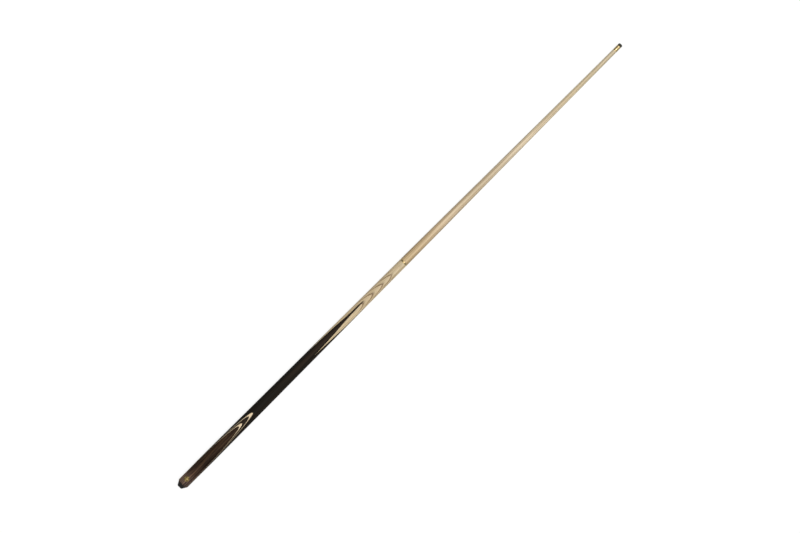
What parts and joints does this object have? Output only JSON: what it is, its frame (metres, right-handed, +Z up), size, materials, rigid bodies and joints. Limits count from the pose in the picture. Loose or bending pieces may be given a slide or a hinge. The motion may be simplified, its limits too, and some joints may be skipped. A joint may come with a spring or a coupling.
{
  "type": "pool cue",
  "caption": "Long tapered wooden cue in halves joined by a centre screw joint, with brass joint collars, a spliced dark butt, brass ferrule, leather tip and rubber foot.",
  "frame": {"origin": "on the surface the cue lies on, under the middle of its length and width", "axes": "+X from the butt towards the tip, +Z up through the front of the butt, where the badge and the front splice are"},
  "size_m": [1.448, 0.0282, 0.0283],
  "materials": {
    "ash": "oiled, satin, open grain with arrow figure",
    "ebony": "polished, near black",
    "rosewood": "polished, dark red brown with darker streaks",
    "pale_veneer": "polished pale veneer",
    "black_veneer": "polished black dyed veneer",
    "brass": "turned, lightly tarnished",
    "steel": "bright zinc plated",
    "leather": "pressed leather, chalked",
    "rubber": "moulded, matte",
    "badge": "polished plain brass inlay"
  },
  "bodies": {
    "butt": {"bumper": "rubber", "bumper_washer": "steel", "bumper_screw": "steel", "weight_plug": "ebony", "balance_weight": "steel", "butt_ash_core": "ash", "ebony_splice_front": "ebony", "ebony_splice_right": "ebony", "ebony_splice_back": "ebony", "ebony_splice_left": "ebony", "veneer_outer": "pale_veneer", "veneer_black": "black_veneer", "veneer_inner": "pale_veneer", "rosewood_panel": "rosewood", "badge": "badge", "butt_joint_insert": "brass", "joint_stud": "brass"},
    "bush": {"shaft_joint_bush": "brass"},
    "front_half": {"shaft_wood": "ash", "ferrule": "brass", "tip": "leather"}
  },
  "joints": [
    {"name": "thread_advance", "type": "slide", "parent": "butt", "child": "bush", "axis": [1, 0, -0.0058], "range_m": [0, 0.01814]},
    {"name": "shaft_unscrew", "type": "hinge", "parent": "bush", "child": "front_half", "pos_m": [0.011, 0, 0.0104], "axis": [1, 0, -0.0058], "range_deg": [0, 3602]}
  ],
  "couplings": [
    {"joint": "shaft_unscrew", "follows": "thread_advance", "rad_per_m": 3463.2}
  ]
}
